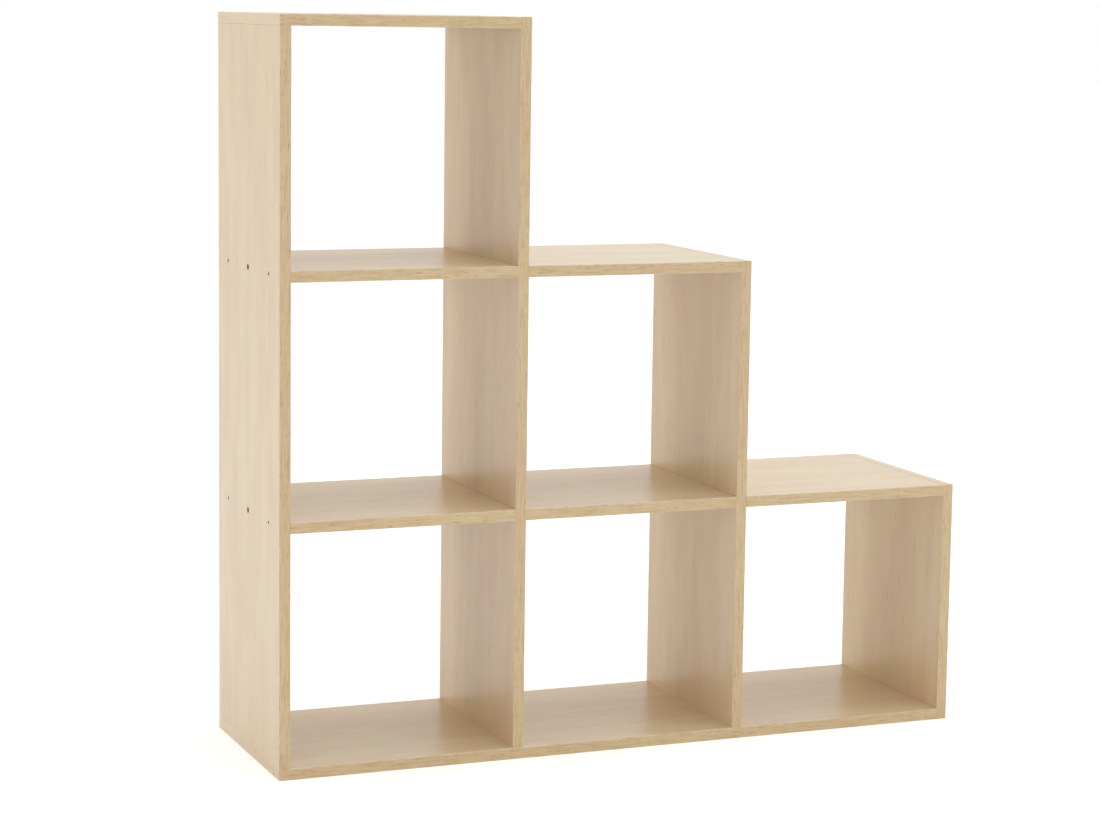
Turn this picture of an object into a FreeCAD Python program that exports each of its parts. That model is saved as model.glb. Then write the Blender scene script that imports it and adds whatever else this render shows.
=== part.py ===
import FreeCAD, Part

import math
import os
from collections import namedtuple

# A staircase bookshelf: three columns of open cells that step down from left to right.
# Eleven melamine-faced boards carry an edge band on every edge that shows. Two screws, with
# a dowel between them, hold each joint whose outside can be reached. Where two shelves meet
# on the two sides of a divider, dowels run through it into both.
#
# Frame: +X to the right, +Y to the back, +Z up. The origin is on the floor, at the middle
# of the footprint. Lengths are in millimetres.

# Boards
BOARD_T = 15.0  # thickness of every board
CELL_W = 305.0  # clear width of a cell
CELL_H = 305.0  # clear height of a cell
DEPTH = 290.0  # front to back, over the edge bands

# Edge bands
BAND_T = 1.0  # thickness of the strip glued to a board's edge
BAND_ARRIS_R = 0.8  # rounding of the strip's two long outer corners
BAND_ARRIS_LIMIT = 0.9  # largest share of the strip's thickness that the rounding may take

# Assembly screws
SCREW_OFFSET = 96.0  # from the middle of the depth to the screw before it and behind it
SCREW_LENGTH = 50.0
SCREW_HEAD_D = 10.0  # flat top of the head, over a cone of 90 degrees
SCREW_SHANK_D = 7.0  # smooth shank in the board under the head
SCREW_SHANK_SHORT = 2.0  # from the end of the shank to the joint between the two boards
SCREW_CORE_D = 5.0  # threaded length, at the root of its thread
SCREW_SINK = 0.2  # top of the head below the board's face
SCREW_CLEARANCE = 0.1  # around the shank and the core, and past the end
SOCKET_FLATS = 4.0  # hexagon socket in the head, across its flats
SOCKET_DEPTH = 3.0

# Dowels
DOWEL_D = 8.0
DOWEL_LENGTH = 30.0  # between the two screws of a screwed joint
DOWEL_RECESS = 6.0  # end of that dowel below the outer face of the board it is driven through
CROSS_DOWEL_LENGTH = 50.0  # through a divider and into the shelves on both its sides
DOWEL_CHAMFER = 0.8
DOWEL_CLEARANCE = 0.1  # around a dowel
DOWEL_END_GAP = 0.8  # left past a dowel's end for the glue

# The uprights from left to right. The first column between them is as many cells high as
# there are columns, and each next column is a cell lower.
UPRIGHTS = ("left_side", "tall_divider", "middle_divider", "right_side")
COLUMNS = len(UPRIGHTS) - 1

X = FreeCAD.Vector(1, 0, 0)
Y = FreeCAD.Vector(0, 1, 0)
Z = FreeCAD.Vector(0, 0, 1)

WIDTH = COLUMNS * (CELL_W + BOARD_T) + BOARD_T
HEIGHT = COLUMNS * (CELL_H + BOARD_T) + BOARD_T
FRONT = -DEPTH / 2
BACK = DEPTH / 2


def upright_x(column):
    """Left face of the upright at the left of a column."""
    return column * (CELL_W + BOARD_T) - WIDTH / 2


def level_z(level):
    """Underside of the boards at a level; level 0 lies on the floor."""
    return level * (CELL_H + BOARD_T)


# A board lies between x0 and x1 and between z0 and z1, its end bands included. Its grain
# runs along X in a shelf and along Z in an upright. Of its two ends, only the banded one shows.
Board = namedtuple("Board", "x0 x1 z0 z1 upright banded_end")


def shelf(level, x0, x1, banded_end=None):
    """A lying board from x0 to x1."""
    return Board(x0, x1, level_z(level), level_z(level) + BOARD_T, False, banded_end)


def cell_shelf(level, column):
    """A lying board that closes one cell, between the uprights on its two sides."""
    return shelf(level, upright_x(column) + BOARD_T, upright_x(column + 1))


def upright(column, z0, z1, banded_end=None):
    """A standing board from z0 to z1."""
    return Board(upright_x(column), upright_x(column) + BOARD_T, z0, z1, True, banded_end)


BOARDS = {
    "bottom_board": shelf(0, upright_x(0), upright_x(3), "left"),
    "left_side": upright(0, level_z(0) + BOARD_T, level_z(3)),
    "top_board": shelf(3, upright_x(0), upright_x(1), "left"),
    "tall_divider": upright(1, level_z(0) + BOARD_T, level_z(3) + BOARD_T, "top"),
    "middle_divider": upright(2, level_z(0) + BOARD_T, level_z(2) + BOARD_T, "top"),
    "right_side": upright(3, level_z(0), level_z(1) + BOARD_T, "top"),
    "upper_left_shelf": cell_shelf(2, 0),
    "middle_step_top": cell_shelf(2, 1),
    "lower_left_shelf": cell_shelf(1, 0),
    "lower_middle_shelf": cell_shelf(1, 1),
    "low_step_top": cell_shelf(1, 2),
}

# A screwed joint: the screws enter the carrier's outer face and run into the end of the held
# board. `entry` is on that face, at the middle of the depth, and `way` points into the carrier.
ScrewedJoint = namedtuple("ScrewedJoint", "carrier held entry way")


def from_left(carrier, held, column, level):
    """Screws through the left face of an upright into the left end of a lying board."""
    entry = FreeCAD.Vector(upright_x(column), 0, level_z(level) + BOARD_T / 2)
    return ScrewedJoint(carrier, held, entry, X)


def from_right(carrier, held, column, level):
    """Screws through the right face of an upright into the right end of a lying board."""
    entry = FreeCAD.Vector(upright_x(column) + BOARD_T, 0, level_z(level) + BOARD_T / 2)
    return ScrewedJoint(carrier, held, entry, -X)


def from_below(held, column):
    """Screws up through the bottom board into the foot of an upright."""
    entry = FreeCAD.Vector(upright_x(column) + BOARD_T / 2, 0, level_z(0))
    return ScrewedJoint("bottom_board", held, entry, Z)


def from_above(held, column):
    """Screws down through the top board into the head of an upright."""
    entry = FreeCAD.Vector(upright_x(column) + BOARD_T / 2, 0, HEIGHT)
    return ScrewedJoint("top_board", held, entry, -Z)


SCREWED_JOINTS = [
    from_left("left_side", "lower_left_shelf", 0, 1),
    from_left("left_side", "upper_left_shelf", 0, 2),
    from_above("left_side", 0),
    from_right("tall_divider", "top_board", 1, 3),
    from_right("middle_divider", "middle_step_top", 2, 2),
    from_right("right_side", "bottom_board", 3, 0),
    from_right("right_side", "low_step_top", 3, 1),
    from_below("left_side", 0),
    from_below("tall_divider", 1),
    from_below("middle_divider", 2),
]

# A cross joint: dowels run through the divider into the shelves on its left and its right.
CrossJoint = namedtuple("CrossJoint", "divider left right column level")

CROSS_JOINTS = [
    CrossJoint("tall_divider", "lower_left_shelf", "lower_middle_shelf", 1, 1),
    CrossJoint("tall_divider", "upper_left_shelf", "middle_step_top", 1, 2),
    CrossJoint("middle_divider", "lower_middle_shelf", "low_step_top", 2, 1),
]


def core(board):
    """The board itself, inside its edge bands."""
    x0 = board.x0 + (BAND_T if board.banded_end == "left" else 0)
    z1 = board.z1 - (BAND_T if board.banded_end == "top" else 0)
    corner = FreeCAD.Vector(x0, FRONT + BAND_T, board.z0)
    return Part.makeBox(board.x1 - x0, DEPTH - 2 * BAND_T, z1 - board.z0, corner)


def band(corner, across, outward, run):
    """A strip on a board's edge: from a corner of that edge, across the board and along the run."""
    r = min(BAND_ARRIS_R, BAND_ARRIS_LIMIT * BAND_T)
    arc_in = r * (1 - math.sqrt(0.5))

    def point(a, o):
        return corner + across * a + outward * o

    outline = [
        Part.LineSegment(point(0, 0), point(BOARD_T, 0)),
        Part.LineSegment(point(BOARD_T, 0), point(BOARD_T, BAND_T - r)),
        Part.Arc(
            point(BOARD_T, BAND_T - r),
            point(BOARD_T - arc_in, BAND_T - arc_in),
            point(BOARD_T - r, BAND_T),
        ),
        Part.LineSegment(point(BOARD_T - r, BAND_T), point(r, BAND_T)),
        Part.Arc(point(r, BAND_T), point(arc_in, BAND_T - arc_in), point(0, BAND_T - r)),
        Part.LineSegment(point(0, BAND_T - r), point(0, 0)),
    ]
    section = Part.Face(Part.Wire([piece.toShape() for piece in outline]))
    return section.extrude(run)


def bands(board):
    """The strips of a board by the edge they cover. The front and back strips lap the end strip."""
    across = X if board.upright else Z
    run = Z * (board.z1 - board.z0) if board.upright else X * (board.x1 - board.x0)
    low_front = FreeCAD.Vector(board.x0, FRONT + BAND_T, board.z0)
    low_back = FreeCAD.Vector(board.x0, BACK - BAND_T, board.z0)
    strips = {
        "front_band": band(low_front, across, -Y, run),
        "back_band": band(low_back, across, Y, run),
    }
    end_run = Y * (DEPTH - 2 * BAND_T)
    if board.banded_end == "left":
        strips["end_band"] = band(low_front + X * BAND_T, across, -X, end_run)
    if board.banded_end == "top":
        top_front = FreeCAD.Vector(board.x0, FRONT + BAND_T, board.z1 - BAND_T)
        strips["top_band"] = band(top_front, across, Z, end_run)
    return strips


def turned(profile):
    """A solid of revolution about Z from (radius, height) points that start and end on the axis."""
    points = [FreeCAD.Vector(radius, 0, height) for radius, height in profile]
    outline = Part.makePolygon(points + points[:1])
    return Part.Face(outline).revolve(FreeCAD.Vector(0, 0, 0), Z, 360)


def screw():
    """A screw that points down, with the top of its head at height 0."""
    head = SCREW_HEAD_D / 2
    shank = SCREW_SHANK_D / 2
    thread = SCREW_CORE_D / 2
    shank_end = SCREW_SINK + SCREW_SHANK_SHORT - BOARD_T
    body = turned([
        (0, 0),
        (head, 0),
        (shank, shank - head),
        (shank, shank_end),
        (thread, shank_end),
        (thread, -SCREW_LENGTH),
        (0, -SCREW_LENGTH),
    ])
    socket_r = SOCKET_FLATS / math.sqrt(3)
    turns = [side * math.pi / 3 for side in range(6)]
    corners = [FreeCAD.Vector(math.cos(turn), math.sin(turn), 0) * socket_r for turn in turns]
    socket = Part.Face(Part.makePolygon(corners + corners[:1])).extrude(-Z * SOCKET_DEPTH)
    return body.cut(socket)


def countersunk_hole():
    """The hole through the board under a screw's head, whose cone is the head's seat."""
    mouth = SCREW_HEAD_D / 2 + SCREW_SINK
    wall = SCREW_SHANK_D / 2 + SCREW_CLEARANCE
    cone_depth = mouth - wall
    return turned([
        (0, SCREW_SINK),
        (mouth, SCREW_SINK),
        (wall, SCREW_SINK - cone_depth),
        (wall, SCREW_SINK - BOARD_T),
        (0, SCREW_SINK - BOARD_T),
    ])


def pilot_hole():
    """The hole for a screw's threaded length in the end of the held board."""
    wall = SCREW_CORE_D / 2 + SCREW_CLEARANCE
    return round_hole(wall, SCREW_SINK - BOARD_T, -SCREW_LENGTH - SCREW_CLEARANCE)


def dowel(length):
    """A dowel that points down, with its upper end at height 0."""
    r = DOWEL_D / 2
    c = DOWEL_CHAMFER
    return turned([(0, 0), (r - c, 0), (r, -c), (r, c - length), (r - c, -length), (0, -length)])


def dowel_hole(top, bottom):
    """The hole for a dowel between two heights."""
    return round_hole(DOWEL_D / 2 + DOWEL_CLEARANCE, top, bottom)


def round_hole(radius, top, bottom):
    """A round hole about Z between two heights."""
    return Part.makeCylinder(radius, top - bottom, FreeCAD.Vector(0, 0, bottom))


def placed(solid, entry, way, depth_offset=0, sink=0):
    """A solid that points down, turned to point along `way` from an entry point and sunk along it."""
    moved = solid.copy()
    base = entry + Y * depth_offset + way * sink
    moved.Placement = FreeCAD.Placement(base, FreeCAD.Rotation(-Z, way))
    return moved


def build():
    """Every node of the bookshelf by name, each a solid or a group of like solids."""
    cores = {name: core(board) for name, board in BOARDS.items()}
    groups = {}

    def drill(name, hole):
        cores[name] = cores[name].cut(hole)

    def add(group, fastener):
        groups.setdefault(group, []).append(fastener)

    for joint in SCREWED_JOINTS:
        for offset in (-SCREW_OFFSET, SCREW_OFFSET):
            place = (joint.entry, joint.way, offset, SCREW_SINK)
            drill(joint.carrier, placed(countersunk_hole(), *place))
            drill(joint.held, placed(pilot_hole(), *place))
            add(joint.carrier + "_screws", placed(screw(), *place))
        hole = dowel_hole(0, -DOWEL_RECESS - DOWEL_LENGTH - DOWEL_END_GAP)
        for name in (joint.carrier, joint.held):
            drill(name, placed(hole, joint.entry, joint.way))
        pin = placed(dowel(DOWEL_LENGTH), joint.entry, joint.way, sink=DOWEL_RECESS)
        add(joint.carrier + "_dowels", pin)

    reach = CROSS_DOWEL_LENGTH / 2
    for joint in CROSS_JOINTS:
        middle_x = upright_x(joint.column) + BOARD_T / 2
        middle = FreeCAD.Vector(middle_x, 0, level_z(joint.level) + BOARD_T / 2)
        hole = dowel_hole(reach + DOWEL_END_GAP, -reach - DOWEL_END_GAP)
        for offset in (-SCREW_OFFSET, SCREW_OFFSET):
            for name in (joint.divider, joint.left, joint.right):
                drill(name, placed(hole, middle, X, offset))
            pin = placed(dowel(CROSS_DOWEL_LENGTH), middle, X, offset, -reach)
            add(joint.divider + "_cross_dowels", pin)

    nodes = dict(cores)
    for name, board in BOARDS.items():
        for edge, strip in bands(board).items():
            nodes[name + "_" + edge] = strip
    for name, solids in groups.items():
        nodes[name] = Part.makeCompound(solids)
    return nodes


os.makedirs("parts", exist_ok=True)
for node, shape in build().items():
    shape.exportStep("parts/" + node + ".step")
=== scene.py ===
import math

import bpy
from mathutils import Euler, Matrix, Vector


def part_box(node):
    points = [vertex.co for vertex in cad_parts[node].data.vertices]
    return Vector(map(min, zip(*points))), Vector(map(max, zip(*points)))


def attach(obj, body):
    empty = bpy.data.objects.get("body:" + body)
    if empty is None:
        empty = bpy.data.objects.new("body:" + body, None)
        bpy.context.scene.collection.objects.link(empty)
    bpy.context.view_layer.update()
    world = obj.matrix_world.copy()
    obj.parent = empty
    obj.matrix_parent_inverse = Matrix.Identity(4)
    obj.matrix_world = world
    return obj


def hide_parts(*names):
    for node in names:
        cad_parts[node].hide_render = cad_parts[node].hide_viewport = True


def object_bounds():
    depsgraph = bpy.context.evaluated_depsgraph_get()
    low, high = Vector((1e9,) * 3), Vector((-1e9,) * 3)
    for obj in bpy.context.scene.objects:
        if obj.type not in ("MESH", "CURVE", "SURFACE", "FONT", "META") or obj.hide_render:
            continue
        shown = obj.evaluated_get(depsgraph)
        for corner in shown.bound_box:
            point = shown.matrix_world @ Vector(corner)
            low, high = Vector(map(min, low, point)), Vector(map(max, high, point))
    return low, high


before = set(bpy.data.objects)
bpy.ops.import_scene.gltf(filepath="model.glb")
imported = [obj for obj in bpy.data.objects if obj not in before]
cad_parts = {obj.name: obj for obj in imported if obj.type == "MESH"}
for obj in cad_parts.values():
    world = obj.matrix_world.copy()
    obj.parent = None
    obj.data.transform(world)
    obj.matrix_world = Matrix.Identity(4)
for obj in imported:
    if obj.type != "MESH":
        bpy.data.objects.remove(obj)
CAD_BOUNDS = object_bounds()

bl_info = {
    "name": "Staircase Bookshelf",
    "version": (1, 0, 0),
    "blender": (4, 5, 0),
    "location": "3D View > Sidebar > Bookshelf",
    "description": "Wood-grain finishes, fasteners and studio of a staircase bookshelf",
    "category": "Object",
}

BODY = "root"

# The boards, uprights first, each with a tint that is partly its printed sheet's own tone and partly
# painted light: the lighter, bluer tints, strongest on the middle divider and the right side, paint in
# the brighter, greyer light of their cells.
BOARDS = {
    "left_side": (1.00, 1.00, 1.00),
    "tall_divider": (0.98, 0.99, 1.03),
    "middle_divider": (1.03, 1.05, 1.11),
    "right_side": (1.06, 1.08, 1.13),
    "bottom_board": (0.97, 0.98, 0.98),
    "top_board": (1.00, 1.00, 1.00),
    "upper_left_shelf": (1.03, 1.04, 1.03),
    "middle_step_top": (0.97, 1.00, 1.03),
    "lower_left_shelf": (1.00, 1.02, 1.00),
    "lower_middle_shelf": (1.00, 1.03, 1.04),
    "low_step_top": (0.98, 1.00, 1.02),
}

# The lying boards whose right end shows an open seam on top, beside an upright's band, with a wider
# painted shadow line there for the seam's shade.
SHADOW_SEAM_BOARDS = ("top_board", "middle_step_top", "low_step_top")

# The board that screws and a dowel go through, and the boards whose ends they hold.
SCREWED_JOINTS = {
    "left_side": ("lower_left_shelf", "upper_left_shelf"),
    "top_board": ("left_side",),
    "tall_divider": ("top_board",),
    "middle_divider": ("middle_step_top",),
    "right_side": ("bottom_board", "low_step_top"),
    "bottom_board": ("left_side", "tall_divider", "middle_divider"),
}

# The divider that dowels go through, and the shelves at its left that they hold.
CROSS_JOINTS = {
    "tall_divider": ("lower_left_shelf", "upper_left_shelf"),
    "middle_divider": ("lower_middle_shelf",),
}


def extent(node):
    """Size of a CAD node along X, Y and Z."""
    low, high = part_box(node)
    return high - low


def middle(node):
    """Middle of a CAD node's box."""
    low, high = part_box(node)
    return (low + high) / 2


def axes(node):
    """A board's or band's axes: along its grain, across it, and through its thickness."""
    size = extent(node)
    through, across, along = sorted(range(3), key=lambda axis: size[axis])
    return along, across, through


BANDS = [name for name in sorted(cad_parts) if name.endswith("_band")]
PALE_BANDS = ("_end_band", "_top_band")

# Sizes of the fasteners, as the frame has them.
TOP = CAD_BOUNDS[1].z
HEAD_DIAMETER = extent("top_board_screws").x
SCREW_LENGTH = extent("top_board_screws").z
SCREW_OFFSET = (extent("top_board_screws").y - HEAD_DIAMETER) / 2
SCREW_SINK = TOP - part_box("top_board_screws")[1].z
DOWEL_DIAMETER = extent("top_board_dowels").x
DOWEL_LENGTH = extent("top_board_dowels").z
DOWEL_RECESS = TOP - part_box("top_board_dowels")[1].z
CROSS_DOWEL_LENGTH = extent("middle_divider_cross_dowels").x
CROSS_DOWEL_OFFSET = (extent("middle_divider_cross_dowels").y - DOWEL_DIAMETER) / 2
BOARD_THICKNESS = extent("left_side").x


# Settings

# Index of refraction of lacquer, plastic and plain wood.
PLAIN_IOR = 1.50


def colour_prop(name, description, default):
    """A colour, in linear values."""
    return bpy.props.FloatVectorProperty(
        name=name, description=description, default=default, subtype="COLOR", size=3, min=0.0, max=1.0
    )


def length_prop(name, description, default):
    """A length in metres."""
    return bpy.props.FloatProperty(
        name=name, description=description, default=default, min=0.0, precision=5, unit="LENGTH"
    )


def share_prop(name, description, default):
    """A number from 0 to 1."""
    return bpy.props.FloatProperty(
        name=name, description=description, default=default, min=0.0, max=1.0, subtype="FACTOR"
    )


def place_prop(name, description, default):
    """A place in metres."""
    return bpy.props.FloatVectorProperty(
        name=name,
        description=description,
        default=default,
        size=3,
        subtype="TRANSLATION",
        unit="LENGTH",
    )


def angle_prop(name, description, degrees):
    """An angle."""
    return bpy.props.FloatProperty(
        name=name,
        description=description,
        default=math.radians(degrees),
        subtype="ANGLE",
        unit="ROTATION",
    )


def strength_prop(name, description, default):
    """The strength of a light, where 1 is white."""
    return bpy.props.FloatProperty(
        name=name, description=description, default=default, min=0.0, soft_max=2.0
    )


def power_prop(name, description, default):
    """A lamp's power in watts."""
    return bpy.props.FloatProperty(
        name=name, description=description, default=default, min=0.0, unit="POWER"
    )


def ior_prop(name, description):
    """An index of refraction."""
    return bpy.props.FloatProperty(name=name, description=description, default=PLAIN_IOR, min=1.0)


class BoardFinish(bpy.types.PropertyGroup):
    """Printed pale grain of the boards' faces, over a particle core."""

    ground: colour_prop("Ground", "Colour of the pale wood", (0.799, 0.642, 0.397))
    patch: colour_prop("Patch", "Colour of the broad rosy patches", (0.777, 0.576, 0.369))
    vein: colour_prop("Vein", "Colour of the rings and streaks", (0.610, 0.445, 0.255))
    pore: colour_prop("Pore", "Colour of the short dark pores", (0.450, 0.300, 0.160))
    glint: colour_prop("Glint", "Colour of the short pale dashes", (0.870, 0.740, 0.540))
    chip: colour_prop("Chip", "Colour of the particle core", (0.400, 0.270, 0.150))
    # Groove is the colour of a painted joint shadow: a dark line at a lying board's cut ends.
    groove: colour_prop("Groove", "Colour of the dark line at a cut end", (0.170, 0.110, 0.055))
    wave: length_prop("Wave", "Sideways reach of the grain's small waves", 0.0012)
    ring_step: length_prop("Ring step", "Distance between growth rings", 0.024)
    streak_width: length_prop("Streak width", "Distance between streaks", 0.020)
    streak_length: length_prop("Streak length", "Length of a streak", 0.120)
    fleck_width: length_prop("Fleck width", "Width of a fleck's cell", 0.0026)
    fleck_length: length_prop("Fleck length", "Length of a fleck's cell", 0.030)
    fleck_share: share_prop("Fleck share", "Share of the cells that hold a fleck", 0.05)
    ring_strength: share_prop("Rings", "Strength of the growth rings", 0.06)
    streak_strength: share_prop("Streaks", "Strength of the streaks", 0.14)
    fibre_strength: share_prop("Fibres", "Strength of the hair-fine fibres", 0.02)
    pore_strength: share_prop("Pores", "Strength of the short pores", 0.50)
    glint_strength: share_prop("Glints", "Strength of the pale dashes", 0.25)
    # Cut and seam are the widths of that painted joint shadow, at plain ends and at the steps' open
    # seams.
    cut: length_prop("Cut", "Width of the dark line at a cut end", 0.0005)
    seam: length_prop("Seam", "Width of the dark line at a step's open seam", 0.0016)
    joint_shadow_strength: share_prop("Cut strength", "Strength of the dark line", 0.90)
    skin: length_prop("Skin", "Thickness of the printed face", 0.0003)
    roughness: share_prop("Roughness", "Mean roughness of the face", 0.30)
    ior: ior_prop("IOR", "Index of refraction of the face")


class BandFinish(bpy.types.PropertyGroup):
    """Darker, stronger grain of the edge bands, with pale trimmed arrises that are partly a painted
    highlight.
    """

    ground: colour_prop("Ground", "Colour of the tan wood", (0.835, 0.648, 0.375))
    patch: colour_prop("Patch", "Colour of the long rosy patches", (0.840, 0.612, 0.370))
    vein: colour_prop("Vein", "Colour of the rings and streaks", (0.560, 0.385, 0.190))
    pore: colour_prop("Pore", "Colour of the short dark pores", (0.430, 0.270, 0.120))
    glint: colour_prop("Glint", "Colour of the short pale dashes", (0.860, 0.720, 0.490))
    # The arris colour is partly the pale scraped trim and partly a painted highlight of light on the
    # rounded edge.
    arris: colour_prop("Arris", "Colour of the trimmed arrises", (0.900, 0.810, 0.640))
    wave: length_prop("Wave", "Sideways reach of the grain's small waves", 0.005)
    ring_step: length_prop("Ring step", "Distance between growth rings", 0.005)
    streak_width: length_prop("Streak width", "Distance between streaks", 0.003)
    streak_length: length_prop("Streak length", "Length of a streak", 0.035)
    fleck_width: length_prop("Fleck width", "Width of a fleck's cell", 0.0017)
    fleck_length: length_prop("Fleck length", "Length of a fleck's cell", 0.013)
    fleck_share: share_prop("Fleck share", "Share of the cells that hold a fleck", 0.22)
    ring_strength: share_prop("Rings", "Strength of the growth rings", 0.20)
    streak_strength: share_prop("Streaks", "Strength of the streaks", 0.40)
    fibre_strength: share_prop("Fibres", "Strength of the hair-fine fibres", 0.18)
    pore_strength: share_prop("Pores", "Strength of the short pores", 0.50)
    glint_strength: share_prop("Glints", "Strength of the pale dashes", 0.50)
    # Width of that painted highlight, and its strength on lying and upright bands; it is stronger on
    # lying bands, whose upper arrises catch the top light.
    arris_width: length_prop("Arris width", "Width of a pale trimmed arris", 0.0011)
    lying_arris_highlight: share_prop("Lying arris", "Strength of the arrises on lying boards", 0.85)
    upright_arris_highlight: share_prop("Upright arris", "Strength of the arrises on uprights", 0.40)
    roughness: share_prop("Roughness", "Mean roughness of the band", 0.36)
    ior: ior_prop("IOR", "Index of refraction of the band")


class ScrewMake(bpy.types.PropertyGroup):
    """Countersunk assembly screws with a hexagon socket and a coarse thread."""

    shank: length_prop("Shank", "Diameter of the smooth shank", 0.0070)
    core: length_prop("Core", "Diameter at the root of the thread", 0.0050)
    crest: length_prop("Crest", "Diameter over the thread", 0.0070)
    pitch: length_prop("Pitch", "Rise of the thread in one turn", 0.0030)
    point: length_prop("Point", "Length of the blunt point", 0.0040)
    rim: length_prop("Rim", "Rounding of the head's rim", 0.00025)
    socket: length_prop("Socket", "Hexagon socket across its flats", 0.0040)
    socket_depth: length_prop("Socket depth", "Depth of the hexagon socket", 0.0030)
    zinc: colour_prop("Zinc", "Colour of the bright plating", (0.580, 0.585, 0.590))
    dull: colour_prop("Dull", "Colour of the dull plating", (0.400, 0.404, 0.408))
    # Socket shade is a near-black colour painted into the socket for its shade.
    socket_shade: colour_prop("Soot", "Colour of the dark socket", (0.030, 0.028, 0.025))
    socket_roughness: share_prop("Socket roughness", "Roughness of the dark socket", 0.75)
    roughness: share_prop("Roughness", "Mean roughness of the plating", 0.34)


class DowelMake(bpy.types.PropertyGroup):
    """Fluted beech dowels with chamfered ends."""

    flutes: bpy.props.IntProperty(name="Flutes", description="Grooves round a dowel", default=20, min=6)
    flute_depth: length_prop("Flute depth", "Depth of a groove", 0.00035)
    chamfer: length_prop("Chamfer", "Chamfer of the two ends", 0.0008)
    beech: colour_prop("Beech", "Colour of the dowel's wood", (0.560, 0.390, 0.230))
    fibre: colour_prop("Fibre", "Colour of its darker fibres", (0.330, 0.200, 0.100))
    roughness: share_prop("Roughness", "Mean roughness of the wood", 0.7)


class StudioSet(bpy.types.PropertyGroup):
    """White studio with soft light, and the camera."""

    floor: colour_prop("Floor", "Colour of the floor", (0.90, 0.90, 0.90))
    floor_size: length_prop("Floor size", "Side of the floor", 60.0)
    glow: share_prop("Glow", "White that the floor adds for the camera", 0.42)
    dome_left: strength_prop("Dome left", "Soft light from the left", 0.24)
    dome_right: strength_prop("Dome right", "Soft light from the right", 0.94)
    dome_front: strength_prop("Dome front", "Soft light from the front", 0.13)
    dome_rear: strength_prop("Dome rear", "Soft light from the rear", 0.05)
    dome_top: strength_prop("Dome top", "Soft light from above", 0.70)
    rear_power: power_prop("Rear power", "Power of the soft lamp at the left rear", 70.0)
    rear_place: place_prop("Rear place", "Place of the soft lamp at the left rear", (-7.0, 2.0, 1.8))
    rear_size: length_prop("Rear size", "Side of the soft lamp at the left rear", 2.0)
    side_power: power_prop("Side power", "Power of the soft lamp at the left front", 18.0)
    side_place: place_prop("Side place", "Place of the soft lamp at the left front", (-7.0, -2.0, 1.8))
    side_size: length_prop("Side size", "Side of the soft lamp at the left front", 2.0)
    top_power: power_prop("Top power", "Power of the soft lamp overhead", 67.0)
    top_place: place_prop("Top place", "Place of the soft lamp overhead", (0.3, -0.3, 6.0))
    top_size: length_prop("Top size", "Side of the soft lamp overhead", 5.0)
    camera_place: place_prop("Camera place", "Place of the camera", (-1.4860, -3.5487, 0.9885))
    camera_turn: angle_prop("Camera turn", "Turn of the camera about the vertical", -23.094)
    camera_tilt: angle_prop("Camera tilt", "Tilt of the camera below the horizon", 7.319)
    camera_roll: angle_prop("Camera roll", "Roll of the camera about its own axis", 0.924)
    lens: bpy.props.FloatProperty(
        name="Lens", description="Focal length of the lens", default=92.61, min=1.0, unit="CAMERA"
    )
    shift_x: bpy.props.FloatProperty(
        name="Shift X", description="Sideways shift of the lens, in picture widths", default=-0.0558
    )
    shift_y: bpy.props.FloatProperty(
        name="Shift Y", description="Upward shift of the lens, in picture widths", default=-0.0372
    )


class BookshelfSettings(bpy.types.PropertyGroup):
    """All settings of the bookshelf."""

    board: bpy.props.PointerProperty(type=BoardFinish)
    band: bpy.props.PointerProperty(type=BandFinish)
    screw: bpy.props.PointerProperty(type=ScrewMake)
    dowel: bpy.props.PointerProperty(type=DowelMake)
    studio: bpy.props.PointerProperty(type=StudioSet)


# Shader graphs

# Mean of a noise, and the distances from a cell's middle between which a dash fades.
NOISE_MEAN = 0.5
DASH_EDGE = (0.135, 0.45)


class Socket:
    """An output of a shader node. Arithmetic on it adds Math nodes to its graph."""

    def __init__(self, graph, output):
        self.graph = graph
        self.output = output

    def math(self, operation, *values):
        """The output of a new Math node."""
        return self.graph.add("ShaderNodeMath", {"operation": operation}, dict(enumerate(values)))

    def __add__(self, other):
        return self.math("ADD", self, other)

    def __radd__(self, other):
        return self.math("ADD", other, self)

    def __sub__(self, other):
        return self.math("SUBTRACT", self, other)

    def __rsub__(self, other):
        return self.math("SUBTRACT", other, self)

    def __mul__(self, other):
        return self.math("MULTIPLY", self, other)

    def __rmul__(self, other):
        return self.math("MULTIPLY", other, self)

    def __truediv__(self, other):
        return self.math("DIVIDE", self, other)

    def __rtruediv__(self, other):
        return self.math("DIVIDE", other, self)

    def __gt__(self, other):
        return self.math("GREATER_THAN", self, other)

    def __lt__(self, other):
        return self.math("LESS_THAN", self, other)

    def __mod__(self, other):
        return self.math("FLOORED_MODULO", self, other)

    def __rmod__(self, other):
        return self.math("FLOORED_MODULO", other, self)

    def __neg__(self):
        return self.math("MULTIPLY", self, -1.0)

    def __abs__(self):
        return self.math("ABSOLUTE", self)

    def larger(self, other):
        """The larger of two values."""
        return self.math("MAXIMUM", self, other)

    def root(self):
        """The square root."""
        return self.math("SQRT", self)


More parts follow.
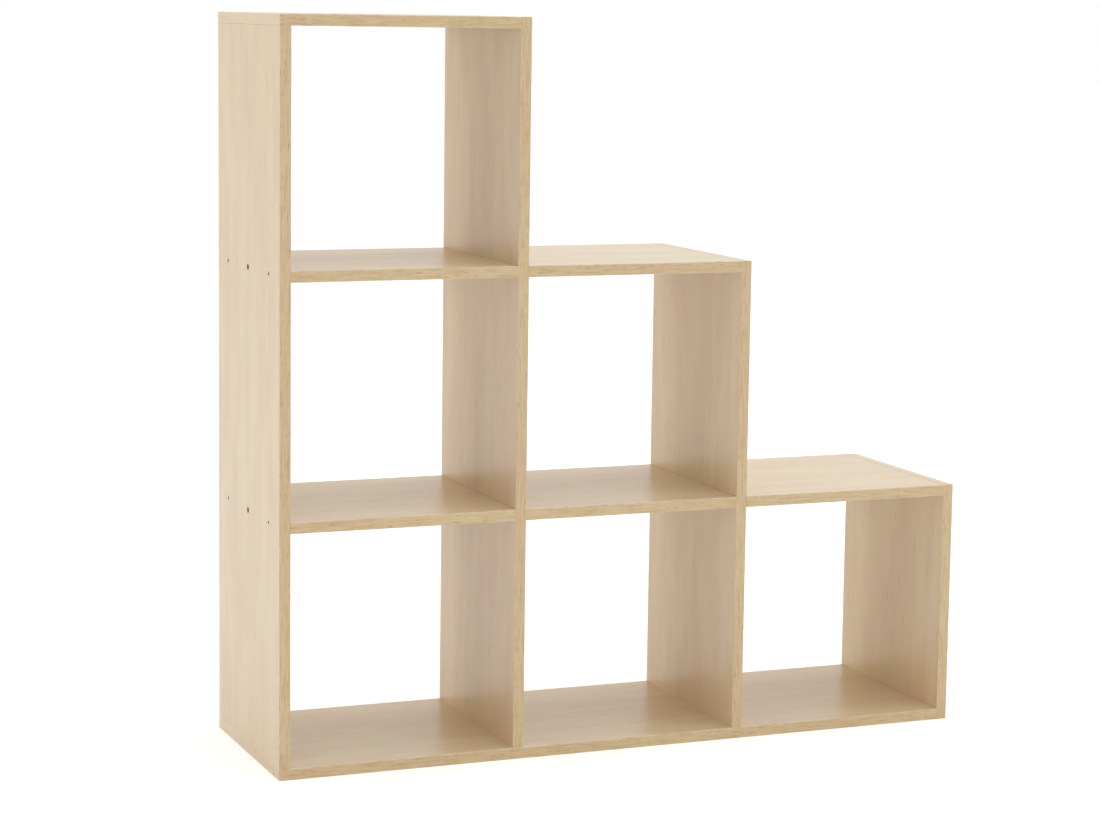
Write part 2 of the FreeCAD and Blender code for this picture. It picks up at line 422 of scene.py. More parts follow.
class Graph:
    """The shader nodes of a material or a world."""

    def __init__(self, tree):
        self.tree = tree
        tree.nodes.clear()

    def add(self, kind, settings=None, inputs=None, output=0):
        """Add a node: its settings first, then the values or links of its sockets."""
        node = self.tree.nodes.new(kind)
        for name, value in (settings or {}).items():
            setattr(node, name, value)
        for key, value in (inputs or {}).items():
            if isinstance(value, Socket):
                self.tree.links.new(value.output, node.inputs[key])
            else:
                node.inputs[key].default_value = value
        return Socket(self, node.outputs[output] if node.outputs else None)

    def place(self):
        """X, Y and Z of the object's own coordinates."""
        coordinates = self.add("ShaderNodeTexCoord", output="Object")
        return [self.add("ShaderNodeSeparateXYZ", None, {0: coordinates}, axis) for axis in "XYZ"]

    def vector(self, x, y, z=0.0):
        """A vector from its parts."""
        return self.add("ShaderNodeCombineXYZ", None, {0: x, 1: y, 2: z})

    def times(self, vector, factors):
        """A vector or a colour with each of its parts multiplied by a factor."""
        return self.add("ShaderNodeVectorMath", {"operation": "MULTIPLY"}, {0: vector, 1: factors})

    def noise(self, vector, per_metre, detail=2.0, roughness=0.5):
        """Noise about NOISE_MEAN, with so many pattern units to the metre along each axis."""
        inputs = {
            "Vector": self.times(vector, per_metre),
            "Scale": 1.0,
            "Detail": detail,
            "Roughness": roughness,
        }
        return self.add("ShaderNodeTexNoise", None, inputs)

    def dashes(self, vector, per_metre, share):
        """Soft dashes in a random share of the cells of a stretched pattern."""
        settings = {"voronoi_dimensions": "2D"}
        inputs = {"Vector": self.times(vector, per_metre), "Scale": 1.0}
        distance = self.add("ShaderNodeTexVoronoi", settings, inputs, "Distance")
        colour = self.add("ShaderNodeTexVoronoi", settings, inputs, "Color")
        chance = self.add("ShaderNodeSeparateColor", None, {0: colour}, "Red")
        strength = self.add("ShaderNodeSeparateColor", None, {0: colour}, "Green")
        return (1 - self.rise(distance, *DASH_EDGE)) * (chance < share) * strength

    def rise(self, value, low, high):
        """0 up to the first limit, 1 from the second, smooth between them."""
        inputs = {"Value": value, "From Min": low, "From Max": high}
        return self.add("ShaderNodeMapRange", {"interpolation_type": "SMOOTHSTEP"}, inputs)

    def mix(self, factor, first, second):
        """A colour between two colours."""
        inputs = {0: factor, 6: with_alpha(first), 7: with_alpha(second)}
        return self.add("ShaderNodeMix", {"data_type": "RGBA"}, inputs, 2)

    def bump(self, height, strength, distance):
        """A normal that follows a fine relief."""
        inputs = {"Height": height, "Strength": strength, "Distance": distance}
        return self.add("ShaderNodeBump", None, inputs)

    def principled(self, colour, roughness, normal, metallic=0.0, ior=PLAIN_IOR):
        """The material's one shader."""
        inputs = {
            "Base Color": colour,
            "Roughness": roughness,
            "Normal": normal,
            "Metallic": metallic,
            "IOR": ior,
        }
        shader = self.add("ShaderNodeBsdfPrincipled", None, inputs)
        self.add("ShaderNodeOutputMaterial", None, {"Surface": shader})


def with_alpha(colour):
    """A colour as a socket takes it."""
    return colour if isinstance(colour, Socket) else (*colour, 1.0)


def new_material(name):
    """A new material and its empty graph."""
    material = bpy.data.materials.new(name)
    material.use_nodes = True
    return material, Graph(material.node_tree)


def cover(node, material):
    """Give a CAD node its material in each of its slots."""
    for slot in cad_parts[node].material_slots:
        slot.material = material


# Finishes of the boards and the edge bands

# Pattern units to the metre, along the grain and across it.
WAVE_SCALE = (45.0, 90.0, 0.0)
SWAY_SCALE = (1.5, 6.0, 0.0)
RIPPLE_SCALE = (3.0, 30.0, 0.0)
FADE_SCALE = (4.0, 16.0, 0.0)
PATCH_SCALE = (5.0, 22.0, 0.0)
FIBRE_SCALE = (18.0, 1500.0, 0.0)
HAIR_SCALE = (170.0, 1900.0, 0.0)
HIGHLIGHT_BREAK_SCALE = (45.0, 150.0, 0.0)

# Pattern units to the metre, the same each way.
CHIP_SCALE = (380.0, 380.0, 380.0)
GLOSS_SCALE = (50.0, 50.0, 50.0)

# Values of a pattern at which its mark starts and is full.
RING_RISE = (0.10, 0.85)
RING_FALL = (0.85, 1.00)
FADE_RISE = (0.40, 0.65)
PATCH_RISE = (0.35, 0.65)
STREAK_RISE = (0.40, 0.75)
FIBRE_RISE = (0.40, 0.75)
CHIP_RISE = (0.35, 0.65)
HIGHLIGHT_BREAK_RISE = (0.35, 0.60)

# Lengths and shifts in metres, and the slope of the rings' cone.
SWAY_WIDTH = 0.030
PITH_DEPTH = 0.045
PITH_SPREAD = 0.16
RING_TAPER = 0.055
GLINT_SHIFT = 0.37
SEED_ALONG = 3.17
SEED_ACROSS = 1.73
FACE_STEP = 5.0

# Shares and strengths.
GOLDEN = 0.618034
PITH_SWAY = 2
HAIR_SHARE = 0.35
HAIR_PART = 0.08
FIBRE_PART = 0.5
# Share of a painted joint shadow's width that is fully dark.
JOINT_SHADOW_CORE = 0.5
ARRIS_HIGHLIGHT_CORE = 0.6
SKIN_FADE = 1.2
CHIP_TONE = 0.55
CHIP_BREAK = 0.65
RAW_ROUGHNESS = 0.9
GLOSS_SWING = 0.05

# Levels of detail in a noise.
PLAIN_DETAIL = 1.0
FINE_DETAIL = 3.0
FINEST_DETAIL = 4.0

# Strength of a relief, and its height in metres.
GRAIN_BUMP = (0.12, 0.0001)

# The axis along which the grain of an upright runs.
UPRIGHT = 2


def grain(graph, along, across, seed, look):
    """Colour and relief of a wood grain that runs along the first coordinate."""
    far_along = along + seed * SEED_ALONG
    far_across = across + seed * SEED_ACROSS
    plane = graph.vector(far_along, far_across)
    wave = (graph.noise(plane, WAVE_SCALE) - NOISE_MEAN) * look.wave
    sway = (graph.noise(plane, SWAY_SCALE) - NOISE_MEAN) * SWAY_WIDTH + wave
    bent = graph.vector(far_along, far_across + sway)

    # Growth rings, cut along a leaning cone round a pith below the face.
    pith = seed * GOLDEN % 1 * PITH_SPREAD - PITH_SPREAD / 2
    lean = RING_TAPER if seed % 2 else -RING_TAPER
    depth = along * lean + PITH_DEPTH + sway * PITH_SWAY
    off_pith = across - pith + sway
    radius = (off_pith * off_pith + depth * depth).root()
    phase = (radius / look.ring_step + graph.noise(plane, RIPPLE_SCALE)) % 1
    ring = graph.rise(phase, *RING_RISE) * (1 - graph.rise(phase, *RING_FALL))
    ring = ring * graph.rise(graph.noise(plane, FADE_SCALE), *FADE_RISE)

    # Broad tints, streaks, hair-fine fibres, and short dashes.
    streak_scale = (1 / look.streak_length, 1 / look.streak_width, 0.0)
    patch = graph.rise(graph.noise(bent, PATCH_SCALE), *PATCH_RISE)
    streak = graph.rise(graph.noise(bent, streak_scale, PLAIN_DETAIL), *STREAK_RISE)
    fibre = graph.rise(graph.noise(bent, FIBRE_SCALE), *FIBRE_RISE)
    hair = graph.dashes(bent, HAIR_SCALE, HAIR_SHARE)
    fleck_scale = (1 / look.fleck_length, 1 / look.fleck_width, 0.0)
    pore = graph.dashes(bent, fleck_scale, look.fleck_share)
    moved = graph.vector(far_along + GLINT_SHIFT, far_across + sway + GLINT_SHIFT)
    glint = graph.dashes(moved, fleck_scale, look.fleck_share)

    colour = graph.mix(patch, look.ground, look.patch)
    colour = graph.mix(ring * look.ring_strength, colour, look.vein)
    colour = graph.mix(streak * look.streak_strength + fibre * look.fibre_strength, colour, look.vein)
    colour = graph.mix(glint * look.glint_strength, colour, look.glint)
    colour = graph.mix((pore + hair * HAIR_PART) * look.pore_strength, colour, look.pore)
    relief = 1 - pore - hair * HAIR_PART - fibre * FIBRE_PART
    return colour, relief


def face_roughness(graph, place, look):
    """Roughness of a printed face, with faint clouds."""
    gloss = graph.noise(graph.vector(*place), GLOSS_SCALE, FINE_DETAIL)
    return look.roughness + (gloss - NOISE_MEAN) * GLOSS_SWING


def board_material(board, tint_and_painted_light, seed, look):
    """Printed face of a board, with painted joint shadow at a lying board's ends, and its particle core
    where a bore or a raw end shows it.
    """
    material, graph = new_material(board + "_face")
    place = graph.place()
    centre = middle(board)
    along, across, through = (place[axis] - centre[axis] for axis in axes(board))
    colour, relief = grain(graph, along, across + (through > 0.0) * FACE_STEP, seed, look)
    # The board's tint, which is partly painted light that brightens the boards in better-lit cells.
    colour = graph.times(colour, tint_and_painted_light)

    # Painted shade: a dark line along each end of a lying board, for the shade of its joint, wider at
    # the steps' open seams.
    if axes(board)[0] != UPRIGHT:
        width = look.seam if board in SHADOW_SEAM_BOARDS else look.cut
        from_end = max(extent(board)) / 2 - abs(along)
        cut = 1 - graph.rise(from_end, width * JOINT_SHADOW_CORE, width)
        colour = graph.mix(cut * look.joint_shadow_strength, colour, look.groove)

    depth = min(extent(board)) / 2 - abs(through)
    raw = graph.rise(depth, look.skin, look.skin * SKIN_FADE)
    chips = graph.noise(graph.vector(*place), CHIP_SCALE, FINEST_DETAIL, CHIP_BREAK)
    dark_chip = [value * CHIP_TONE for value in look.chip]
    core = graph.mix(graph.rise(chips, *CHIP_RISE), dark_chip, look.chip)
    colour = graph.mix(raw, colour, core)

    roughness = face_roughness(graph, place, look) + raw * (RAW_ROUGHNESS - look.roughness)
    height = relief * (1 - raw) + chips * raw
    graph.principled(colour, roughness, graph.bump(height, *GRAIN_BUMP), ior=look.ior)
    return material


def band_material(band, seed, look, trim):
    """Grain of an edge band, with its pale trimmed arrises, which are partly a painted highlight."""
    material, graph = new_material(band + "_strip")
    place = graph.place()
    centre = middle(band)
    along_axis, across_axis, _ = axes(band)
    along = place[along_axis] - centre[along_axis]
    across = place[across_axis] - centre[across_axis]
    colour, relief = grain(graph, along, across, seed, look)

    # Painted highlight: a pale line along both long edges, partly the scraped trim, broken up by noise
    # and stronger on lying bands, which face the top light.
    from_edge = extent(band)[across_axis] / 2 - abs(across)
    trimmed = 1 - graph.rise(from_edge, trim.arris_width * ARRIS_HIGHLIGHT_CORE, trim.arris_width)
    highlight_breaks = graph.noise(graph.vector(along + seed * SEED_ALONG, across), HIGHLIGHT_BREAK_SCALE)
    strength = trim.upright_arris_highlight if along_axis == UPRIGHT else trim.lying_arris_highlight
    colour = graph.mix(trimmed * graph.rise(highlight_breaks, *HIGHLIGHT_BREAK_RISE) * strength, colour, trim.arris)
    roughness = face_roughness(graph, place, look)
    graph.principled(colour, roughness, graph.bump(relief, *GRAIN_BUMP), ior=look.ior)
    return material


# Finishes of the fasteners

# Pattern units to the metre. On a dowel, the first is along its length.
ZINC_CLOUD_SCALE = (450.0, 450.0, 450.0)
ZINC_SPECK_SCALE = (3000.0, 3000.0, 3000.0)
SOCKET_MOTTLE_SCALE = (1500.0, 1500.0, 1500.0)
BEECH_CLOUD_SCALE = (60.0, 500.0, 500.0)
BEECH_FIBRE_SCALE = (220.0, 2600.0, 2600.0)

# Values of a pattern at which its mark starts and is full.
DULL_RISE = (0.45, 0.70)
SOCKET_MOTTLE_RISE = (0.45, 0.80)
BEECH_FIBRE_RISE = (0.55, 0.75)
BEECH_CLOUD_RISE = (0.45, 0.75)

# Shares and strengths.
ZINC_CLOUD_BREAK = 0.6
DULL_ROUGHENS = 0.15
SPECK_SWING = 0.1
SOCKET_MOTTLE_COVER = 0.3
SOCKET_MOTTLE_SWING = 0.2
BEECH_FIBRE_PART = 0.6
BEECH_CLOUD_PART = 0.3
BEECH_SWING = 0.2

# Strength of a relief, and its height in metres.
SPECK_BUMP = (0.1, 0.00002)
SOCKET_MOTTLE_BUMP = (0.2, 0.00003)
BEECH_BUMP = (0.3, 0.00005)


def screw_material(make):
    """Zinc plating with dull clouds and fine specks."""
    material, graph = new_material("zinc_plating")
    place = graph.vector(*graph.place())
    cloud = graph.noise(place, ZINC_CLOUD_SCALE, FINEST_DETAIL, ZINC_CLOUD_BREAK)
    speck = graph.noise(place, ZINC_SPECK_SCALE)
    dull = graph.rise(cloud, *DULL_RISE)
    colour = graph.mix(dull, make.zinc, make.dull)
    roughness = make.roughness + dull * DULL_ROUGHENS + (speck - NOISE_MEAN) * SPECK_SWING
    graph.principled(colour, roughness, graph.bump(speck, *SPECK_BUMP), metallic=1.0)
    return material


def socket_shade_material(make):
    """Painted shade inside a screw's socket: near-black with a faint mottle of dull plating."""
    material, graph = new_material("painted_socket_shade")
    place = graph.vector(*graph.place())
    shade_mottle = graph.noise(place, SOCKET_MOTTLE_SCALE, FINE_DETAIL)
    colour = graph.mix(graph.rise(shade_mottle, *SOCKET_MOTTLE_RISE) * SOCKET_MOTTLE_COVER, make.socket_shade, make.dull)
    roughness = make.socket_roughness + (shade_mottle - NOISE_MEAN) * SOCKET_MOTTLE_SWING
    graph.principled(colour, roughness, graph.bump(shade_mottle, *SOCKET_MOTTLE_BUMP))
    return material


def dowel_material(name, axis, make):
    """Beech with short dark fibres along the dowel."""
    material, graph = new_material(name + "_beech")
    place = graph.place()
    along = place.pop(axis)
    vector = graph.vector(along, place[0] + place[1] * GOLDEN, place[1] - place[0] * GOLDEN)
    cloud = graph.noise(vector, BEECH_CLOUD_SCALE, FINE_DETAIL)
    fibre = graph.noise(vector, BEECH_FIBRE_SCALE)
    fibre_mark = graph.rise(fibre, *BEECH_FIBRE_RISE) * BEECH_FIBRE_PART
    cloud_mark = graph.rise(cloud, *BEECH_CLOUD_RISE) * BEECH_CLOUD_PART
    colour = graph.mix(fibre_mark + cloud_mark, make.beech, make.fibre)
    roughness = make.roughness + (cloud - NOISE_MEAN) * BEECH_SWING
    graph.principled(colour, roughness, graph.bump(fibre, *BEECH_BUMP))
    return material


# Shaping

# Points closer than this, in metres, are one point.
MERGE_LIMIT = 1e-6


def deselect():
    """Empty the selection in object mode."""
    bpy.ops.object.select_all(action="DESELECT")


def open_primitive(name):
    """Name the primitive that was just added, put its place in its mesh and open it for shaping."""
    piece = bpy.context.object
    piece.name = name
    piece.data.name = name
    bpy.ops.object.transform_apply(location=True, rotation=True, scale=True)
    bpy.ops.object.mode_set(mode="EDIT")
    return piece


def close_shape():
    """Merge doubles, turn the faces outwards and leave edit mode."""
    bpy.ops.mesh.select_all(action="SELECT")
    bpy.ops.mesh.remove_doubles(threshold=MERGE_LIMIT)
    bpy.ops.mesh.normals_make_consistent(inside=False)
    bpy.ops.object.mode_set(mode="OBJECT")


def select_points(piece, test):
    """In edit mode, select the points whose place passes a test, and what lies between them."""
    bpy.ops.mesh.select_mode(type="VERT")
    bpy.ops.mesh.select_all(action="DESELECT")
    bpy.ops.object.mode_set(mode="OBJECT")
    for vertex in piece.data.vertices:
        vertex.select = test(vertex.co)
    bpy.ops.object.mode_set(mode="EDIT")


def swell(share, height):
    """Scale the selection about the Z axis."""
    bpy.ops.transform.resize(value=(share, share, 1.0), center_override=(0.0, 0.0, height))


def draw_up(height, radius, profile):
    """Extrude the selected end face up through heights and radii, as if turned on a lathe."""
    for next_height, next_radius in profile:
        step = (0.0, 0.0, next_height - height)
        bpy.ops.mesh.extrude_region_move(TRANSFORM_OT_translate={"value": step})
        swell(next_radius / radius, next_height)
        height = next_height
        radius = next_radius


def combine(piece, tool, operation):
    """Join a tool to a piece or cut it out of the piece, and delete the tool."""
    deselect()
    bpy.context.view_layer.objects.active = piece
    modifier = piece.modifiers.new(operation.lower(), "BOOLEAN")
    modifier.operation = operation
    modifier.solver = "EXACT"
    modifier.object = tool
    bpy.ops.object.modifier_apply(modifier=modifier.name)
    bpy.data.objects.remove(tool)


def clear_slivers():
    """Take out the faces without area that joining and cutting leave on the active piece."""
    bpy.ops.object.mode_set(mode="EDIT")
    bpy.ops.mesh.select_all(action="SELECT")
    bpy.ops.mesh.quads_convert_to_tris()
    bpy.ops.mesh.dissolve_degenerate(threshold=MERGE_LIMIT)
    close_shape()


# Screws and dowels

# Lengths in metres, of the shank's end, the thread and the socket's end.
SHANK_SHORT = 0.002
SHANK_STEP = 0.001
THREAD_BITE = 0.0004
THREAD_FLANK = 0.0010
SOCKET_CONE = 0.0009

# Shares of a full size, at a screw's tip, a thread's ends and a socket's end.
TIP_SHARE = 0.45
THREAD_RUNOUT = 0.35
SOCKET_TIP = 0.1

# Corners and steps of the shapes, and the angle up to which they shade smooth.
TRIANGLE = 3
HEXAGON = 6
SCREW_SIDES = 32
THREAD_STEPS = 20
RIM_STEPS = 2
SMOOTH_ANGLE = math.radians(35)

# The slot of the material that paints shade into a socket, and the turn from one screw to the next, in
# radians.
SOCKET_SLOT = 1
TURN_STEP = 2.4

# The way a blank points, and the way a cross dowel points.
DOWN = Vector((0.0, 0.0, -1.0))
RIGHTWARDS = Vector((1.0, 0.0, 0.0))

# A triangle of radius 1 as a primitive makes it: its base behind its centre, and half of its base.
TRIANGLE_BASE = 0.5
TRIANGLE_HALF = math.sqrt(3) / 2
TRIANGLE_STAND = Matrix(((0, 1, 0), (0, 0, -1), (-1, 0, 0))).to_euler()


def thread_ridge(make, low, high):
    """A triangular ridge wound round the core, which runs out at both ends."""
    root = make.core / 2 - THREAD_BITE
    height = make.crest / 2 - root
    deselect()
    bpy.ops.mesh.primitive_circle_add(
        vertices=TRIANGLE, radius=1.0, fill_type="NOTHING", rotation=TRIANGLE_STAND
    )
    ridge = open_primitive("thread_ridge")
    bpy.ops.mesh.select_all(action="SELECT")
    bpy.ops.transform.resize(
        value=(height / (1 + TRIANGLE_BASE), 1.0, THREAD_FLANK / TRIANGLE_HALF),
        center_override=(-TRIANGLE_BASE, 0.0, 0.0),
    )
    bpy.ops.transform.translate(value=(root + TRIANGLE_BASE, 0.0, low))
    bpy.ops.object.mode_set(mode="OBJECT")

    turns = int((high - low) / make.pitch)
    winding = ridge.modifiers.new("winding", "SCREW")
    winding.axis = "Z"
    winding.angle = math.tau
    winding.screw_offset = make.pitch
    winding.iterations = turns
    winding.steps = THREAD_STEPS
    winding.render_steps = THREAD_STEPS
    bpy.ops.object.modifier_apply(modifier=winding.name)

    bpy.ops.object.mode_set(mode="EDIT")
    reach = height + MERGE_LIMIT
    for end in (low, low + turns * make.pitch):
        near = Vector((root, 0.0, end))
        select_points(
            ridge, lambda point: abs(point.y) < MERGE_LIMIT and (point - near).length < reach
        )
        bpy.ops.transform.resize(value=(THREAD_RUNOUT,) * 3, center_override=near)
    bpy.ops.mesh.select_all(action="SELECT")
    bpy.ops.mesh.fill_holes(sides=TRIANGLE)
    close_shape()
    return ridge


def socket_corner(make):
    """From the middle of a screw's socket to a corner of its hexagon."""
    return make.socket / 2 / math.cos(math.pi / HEXAGON)


def socket_end(make):
    """Height of the socket's conical end."""
    return -make.socket_depth - SOCKET_CONE


def socket_tool(make):
    """A hexagon with a conical end, to cut a screw's socket."""
    corner = socket_corner(make)
    tip = corner * SOCKET_TIP
    end = socket_end(make)
    deselect()
    bpy.ops.mesh.primitive_circle_add(
        vertices=HEXAGON, radius=tip, fill_type="NGON", location=(0.0, 0.0, end)
    )
    tool = open_primitive("socket_tool")
    bpy.ops.mesh.select_all(action="SELECT")
    draw_up(end, tip, ((-make.socket_depth, corner), (make.socket_depth, corner)))
    close_shape()
    return tool


def screw_blank(make):
    """One assembly screw that points down, with the top of its head at the origin."""
    head = HEAD_DIAMETER / 2
    shank = make.shank / 2
    core = make.core / 2
    tip = core * TIP_SHARE
    point_end = make.point - SCREW_LENGTH
    shank_end = SHANK_SHORT - BOARD_THICKNESS
    core_end = shank_end - SHANK_STEP
    deselect()
    bpy.ops.mesh.primitive_circle_add(
        vertices=SCREW_SIDES, radius=tip, fill_type="NGON", location=(0.0, 0.0, -SCREW_LENGTH)
    )
    blank = open_primitive("screw_blank")
    bpy.ops.mesh.select_all(action="SELECT")
    profile = (
        (point_end, core),
        (core_end, core),
        (shank_end, shank),
        (shank - head, shank),
        (0.0, head),
    )
    draw_up(-SCREW_LENGTH, tip, profile)
    select_points(blank, lambda point: point.z > -MERGE_LIMIT)
    bpy.ops.mesh.bevel(offset=make.rim, segments=RIM_STEPS)
    close_shape()

    combine(blank, thread_ridge(make, point_end, core_end - THREAD_FLANK), "UNION")
    combine(blank, socket_tool(make), "DIFFERENCE")
    clear_slivers()

    # The socket's faces take the painted shade.
    corner = socket_corner(make) + MERGE_LIMIT
    end = socket_end(make) - MERGE_LIMIT
    for face in blank.data.polygons:
        inside = all(blank.data.vertices[index].co.xy.length < corner for index in face.vertices)
        if inside and end < face.center.z < -MERGE_LIMIT:
            face.material_index = SOCKET_SLOT
    blank.select_set(True)
    bpy.ops.object.shade_smooth_by_angle(angle=SMOOTH_ANGLE)
    return blank


def dowel_blank(make, length):
    """One fluted dowel that points down, with its upper end at the origin."""
    radius = DOWEL_DIAMETER / 2
    end = radius - make.chamfer
    step = math.pi / make.flutes
    deselect()
    bpy.ops.mesh.primitive_circle_add(
        vertices=make.flutes * 2, radius=end, fill_type="NGON", location=(0.0, 0.0, -length)
    )
    blank = open_primitive("dowel_blank")
    select_points(blank, lambda point: round(math.atan2(point.y, point.x) / step) % 2)
    swell(1 - make.flute_depth / radius, -length)
    bpy.ops.mesh.select_all(action="SELECT")
    draw_up(-length, end, ((make.chamfer - length, radius), (-make.chamfer, radius), (0.0, end)))
    close_shape()
    return blank


def set_in(blank, spot, direction, turn):
    """A copy of a blank with its upper end at a spot, pointing in a direction."""
    copy = blank.copy()
    copy.data = blank.data.copy()
    bpy.context.collection.objects.link(copy)
    lay = DOWN.rotation_difference(direction).to_matrix().to_4x4()
    copy.matrix_world = Matrix.Translation(spot) @ lay @ Matrix.Rotation(turn, 4, "Z")
    return copy


def group(copies, name, node, materials):
    """Make one piece of copies that are set in place, which stands for a CAD node."""
    deselect()
    for copy in copies:
        copy.select_set(True)
        for material in materials:
            copy.data.materials.append(material)
    piece = copies[0]
    bpy.context.view_layer.objects.active = piece
    bpy.ops.object.transform_apply(location=True, rotation=True, scale=True)
    bpy.ops.object.join()
    piece.name = name
    piece.data.name = name
    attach(piece, BODY)
    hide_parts(node)


def entry(carrier, held):
    """Where a joint's fasteners go in: the middle of their row on the outer face, and their way."""
    axis = axes(carrier)[2]
    low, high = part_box(carrier)
    spot = middle(held)
    inwards = 1.0 if spot[axis] > middle(carrier)[axis] else -1.0
    spot[axis] = low[axis] if inwards > 0 else high[axis]
    direction = Vector((0.0, 0.0, 0.0))
    direction[axis] = inwards
    return spot, direction


# Operators


class BOOKSHELF_OT_boards(bpy.types.Operator):
    """Give each board its printed grain and its particle core"""

    bl_idname = "bookshelf.boards"
    bl_label = "Finish Boards"

    def execute(self, context):
        look = context.scene.bookshelf.board
        for seed, (board, tint_and_painted_light) in enumerate(BOARDS.items(), start=1):
            cover(board, board_material(board, tint_and_painted_light, seed, look))
        return {"FINISHED"}


class BOOKSHELF_OT_bands(bpy.types.Operator):
    """Give each edge band its darker grain and its pale arrises, which are partly a painted highlight
    """

    bl_idname = "bookshelf.bands"
    bl_label = "Finish Edge Bands"

    def execute(self, context):
        settings = context.scene.bookshelf
        for seed, band in enumerate(BANDS, start=1):
            look = settings.board if band.endswith(PALE_BANDS) else settings.band
            cover(band, band_material(band, seed, look, settings.band))
        return {"FINISHED"}


class BOOKSHELF_OT_screws(bpy.types.Operator):
    """Model an assembly screw and set its copies in the screwed joints"""

    bl_idname = "bookshelf.screws"
    bl_label = "Set Screws"

    def execute(self, context):
        make = context.scene.bookshelf.screw
        blank = screw_blank(make)
        materials = (screw_material(make), socket_shade_material(make))
        turn = 0.0
        for carrier, ends in SCREWED_JOINTS.items():
            copies = []
            for held in ends:
                spot, direction = entry(carrier, held)
                for side in (-SCREW_OFFSET, SCREW_OFFSET):
                    head = spot + Vector((0.0, side, 0.0)) + direction * SCREW_SINK
                    copies.append(set_in(blank, head, direction, turn))
                    turn += TURN_STEP
            group(copies, carrier + "_assembly_screws", carrier + "_screws", materials)
        bpy.data.objects.remove(blank)
        return {"FINISHED"}


class BOOKSHELF_OT_dowels(bpy.types.Operator):
    """Model the fluted dowels and set them in their joints"""

    bl_idname = "bookshelf.dowels"
    bl_label = "Set Dowels"

    def execute(self, context):
        make = context.scene.bookshelf.dowel
        blank = dowel_blank(make, DOWEL_LENGTH)
        for carrier, ends in SCREWED_JOINTS.items():
            copies = []
            for held in ends:
                spot, direction = entry(carrier, held)
                copies.append(set_in(blank, spot + direction * DOWEL_RECESS, direction, 0.0))
            name = carrier + "_fluted_dowels"
            material = dowel_material(name, axes(carrier)[2], make)
            group(copies, name, carrier + "_dowels", [material])
        bpy.data.objects.remove(blank)

        blank = dowel_blank(make, CROSS_DOWEL_LENGTH)
        for divider, shelves in CROSS_JOINTS.items():
            copies = []
            for shelf in shelves:
                start = middle(divider) - RIGHTWARDS * CROSS_DOWEL_LENGTH / 2
                start.z = middle(shelf).z
                for side in (-CROSS_DOWEL_OFFSET, CROSS_DOWEL_OFFSET):
                    start.y = side
                    copies.append(set_in(blank, start, RIGHTWARDS, 0.0))
            name = divider + "_fluted_cross_dowels"
            material = dowel_material(name, axes(divider)[2], make)
            group(copies, name, divider + "_cross_dowels", [material])
        bpy.data.objects.remove(blank)
        return {"FINISHED"}


# Studio

# Width of the camera's sensor in millimetres.
SENSOR_WIDTH = 36.0
WHITE = (1.0, 1.0, 1.0, 1.0)


def seen_ray(graph):
    """1 for what the camera sees, straight or in a reflection, and 0 for light."""
    camera = graph.add("ShaderNodeLightPath", output="Is Camera Ray")
    glossy = graph.add("ShaderNodeLightPath", output="Is Glossy Ray")
    through = graph.add("ShaderNodeLightPath", output="Is Transmission Ray")
    return camera.larger(glossy).larger(through)


def dome_light(graph, studio):
    """Soft light that comes from each side with its own strength."""
    way = graph.add("ShaderNodeTexCoord", output="Generated")
    x, y, z = (graph.add("ShaderNodeSeparateXYZ", None, {0: way}, axis) for axis in "XYZ")
    left = (-x).larger(0.0) * studio.dome_left
    right = x.larger(0.0) * studio.dome_right
    front = (-y).larger(0.0) * studio.dome_front
    rear = y.larger(0.0) * studio.dome_rear
    top = z.larger(0.0) * studio.dome_top
    return left + right + front + rear + top


def lamp(name, power, place, size):
    """A square soft lamp that faces the middle of the shelf."""
    target = (CAD_BOUNDS[0] + CAD_BOUNDS[1]) / 2
    aim = (target - Vector(place)).to_track_quat("-Z", "Y").to_euler()
    bpy.ops.object.light_add(type="AREA", location=place, rotation=aim)
    made = bpy.context.object
    made.name = name
    made.data.energy = power
    made.data.size = size


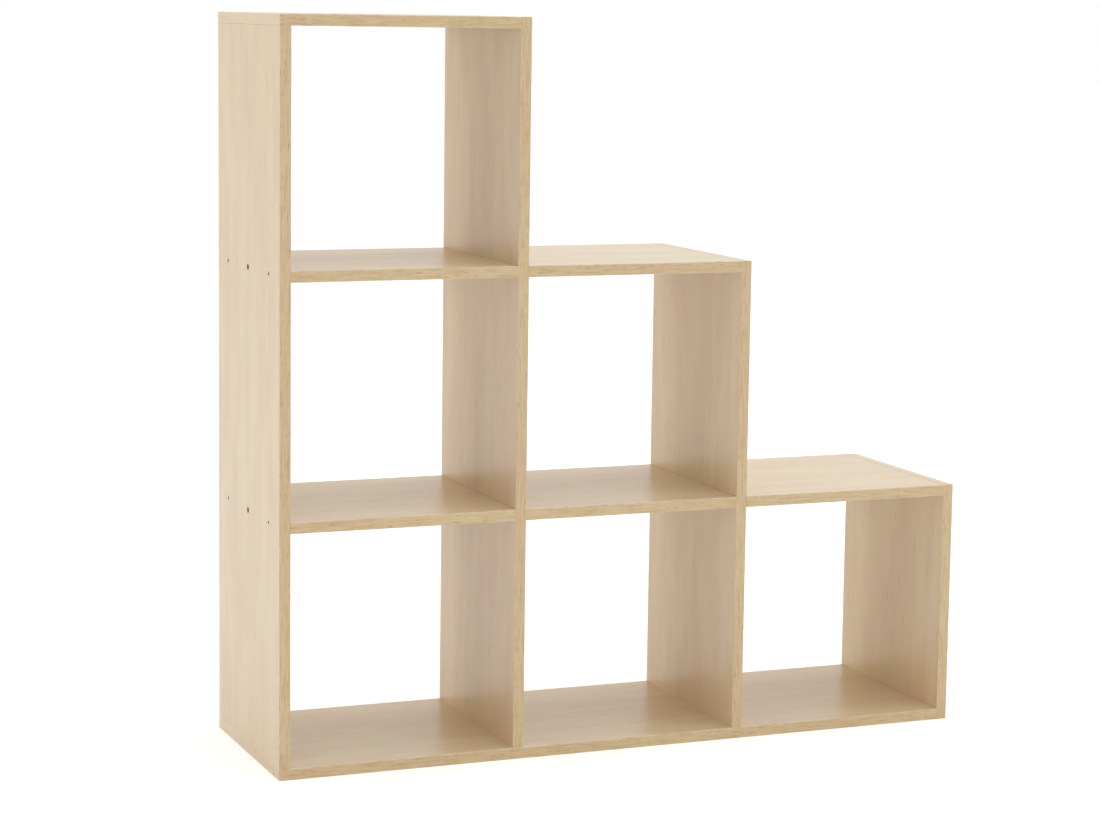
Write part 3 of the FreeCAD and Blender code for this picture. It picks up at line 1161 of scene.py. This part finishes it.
class BOOKSHELF_OT_studio(bpy.types.Operator):
    """Make the floor, the light and the camera"""

    bl_idname = "bookshelf.studio"
    bl_label = "Set Up Studio"

    def execute(self, context):
        studio = context.scene.bookshelf.studio
        context.scene.view_settings.view_transform = "Standard"
        deselect()

        bpy.ops.mesh.primitive_plane_add(size=studio.floor_size)
        floor = context.object
        floor.name = "studio_floor"
        material, graph = new_material("studio_floor")
        matt = graph.add("ShaderNodeBsdfDiffuse", None, {"Color": with_alpha(studio.floor)})
        glow = graph.add("ShaderNodeEmission", None, {"Strength": seen_ray(graph) * studio.glow})
        both = graph.add("ShaderNodeAddShader", None, {0: matt, 1: glow})
        graph.add("ShaderNodeOutputMaterial", None, {"Surface": both})
        floor.data.materials.append(material)

        world = bpy.data.worlds.new("studio_dome")
        world.use_nodes = True
        context.scene.world = world
        graph = Graph(world.node_tree)
        seen = seen_ray(graph)
        strength = seen + (1 - seen) * dome_light(graph, studio)
        dome = graph.add("ShaderNodeBackground", None, {"Color": WHITE, "Strength": strength})
        graph.add("ShaderNodeOutputWorld", None, {"Surface": dome})

        lamp("rear_lamp", studio.rear_power, studio.rear_place, studio.rear_size)
        lamp("side_lamp", studio.side_power, studio.side_place, studio.side_size)
        lamp("top_lamp", studio.top_power, studio.top_place, studio.top_size)

        look = Euler((math.pi / 2 - studio.camera_tilt, 0.0, studio.camera_turn)).to_matrix()
        look = look @ Matrix.Rotation(studio.camera_roll, 3, "Z")
        bpy.ops.object.camera_add(location=studio.camera_place, rotation=look.to_euler())
        camera = context.object
        camera.data.sensor_width = SENSOR_WIDTH
        camera.data.lens = studio.lens
        camera.data.shift_x = studio.shift_x
        camera.data.shift_y = studio.shift_y
        context.scene.camera = camera
        return {"FINISHED"}


# Panel and registration

OPERATORS = (
    BOOKSHELF_OT_boards,
    BOOKSHELF_OT_bands,
    BOOKSHELF_OT_screws,
    BOOKSHELF_OT_dowels,
    BOOKSHELF_OT_studio,
)


class BOOKSHELF_PT_sidebar(bpy.types.Panel):
    """Lists the bookshelf's steps and settings"""

    bl_idname = "BOOKSHELF_PT_sidebar"
    bl_label = "Staircase Bookshelf"
    bl_space_type = "VIEW_3D"
    bl_region_type = "UI"
    bl_category = "Bookshelf"

    def draw(self, context):
        for operator in OPERATORS:
            self.layout.operator(operator.bl_idname)
        settings = context.scene.bookshelf
        for part in BookshelfSettings.__annotations__:
            column = self.layout.box().column()
            column.label(text=part.title())
            for name in getattr(settings, part).__annotations__:
                column.prop(getattr(settings, part), name)


CLASSES = (
    BoardFinish,
    BandFinish,
    ScrewMake,
    DowelMake,
    StudioSet,
    BookshelfSettings,
    *OPERATORS,
    BOOKSHELF_PT_sidebar,
)


def register():
    """Add the classes and the settings to Blender."""
    for cls in CLASSES:
        bpy.utils.register_class(cls)
    bpy.types.Scene.bookshelf = bpy.props.PointerProperty(type=BookshelfSettings)


def unregister():
    """Take the settings and the classes out of Blender."""
    del bpy.types.Scene.bookshelf
    for cls in reversed(CLASSES):
        bpy.utils.unregister_class(cls)


def main():
    """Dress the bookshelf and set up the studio."""
    register()
    bpy.ops.bookshelf.boards()
    bpy.ops.bookshelf.bands()
    bpy.ops.bookshelf.screws()
    bpy.ops.bookshelf.dowels()
    bpy.ops.bookshelf.studio()


if __name__ == "__main__":
    main()
